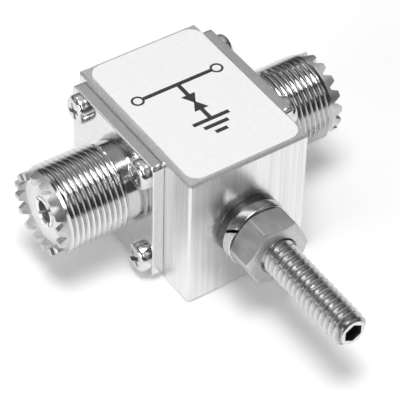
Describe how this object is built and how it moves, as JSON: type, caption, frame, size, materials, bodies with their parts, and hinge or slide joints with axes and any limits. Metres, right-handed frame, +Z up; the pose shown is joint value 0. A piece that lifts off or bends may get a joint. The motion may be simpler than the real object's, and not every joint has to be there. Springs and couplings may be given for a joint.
{
  "type": "coaxial lightning arrestor",
  "caption": "In-line coaxial lightning arrestor: metal block with threaded, notched sockets on opposite faces, a gas tube inside and a threaded grounding stud with nut and washers.",
  "frame": {"origin": "on the block's bottom face, straight below the middle of the socket axis", "axes": "+X along the socket axis towards the right socket, -Y along the grounding stud towards its tip, +Z up"},
  "size_m": [0.0582, 0.0642, 0.0273],
  "materials": {
    "block_aluminium": "machined, fine streaks",
    "label_film": "satin film",
    "shell_nickel": "bright nickel plate",
    "insulator_plastic": "satin",
    "contact_metal": "silver plate",
    "screw_steel": "bright zinc plate",
    "strip_brass": "rolled",
    "tube_ceramic": "fired ceramic",
    "tube_cap_metal": "tinned",
    "stud_steel": "bright, threaded",
    "washer_steel": "satin",
    "nut_steel": "bright zinc plate"
  },
  "bodies": {
    "block": {"body_block": "block_aluminium", "label": "label_film", "left_socket_shell": "shell_nickel", "left_insulator": "insulator_plastic", "left_center_contact": "contact_metal", "left_flange_screws": "screw_steel", "right_socket_shell": "shell_nickel", "right_insulator": "insulator_plastic", "right_center_contact": "contact_metal", "right_flange_screws": "screw_steel", "center_conductor": "strip_brass", "gas_tube_inner_cap": "tube_cap_metal", "gas_tube_ceramic": "tube_ceramic", "gas_tube_outer_cap": "tube_cap_metal", "ground_stud": "stud_steel", "flat_washer": "washer_steel"},
    "spring_washer": {"lock_washer": "washer_steel"},
    "nut": {"ground_nut": "nut_steel"}
  },
  "joints": [
    {"name": "nut_travel", "type": "slide", "parent": "block", "child": "spring_washer", "axis": [0, -1, 0], "range_m": [0, 0.0192]},
    {"name": "nut_turn", "type": "hinge", "parent": "spring_washer", "child": "nut", "pos_m": [0, -0.02654, 0.0129], "axis": [0, -1, 0], "range_deg": [0, 5400]}
  ],
  "couplings": [
    {"joint": "nut_travel", "follows": "nut_turn", "m_per_rad": 0.00020213}
  ]
}
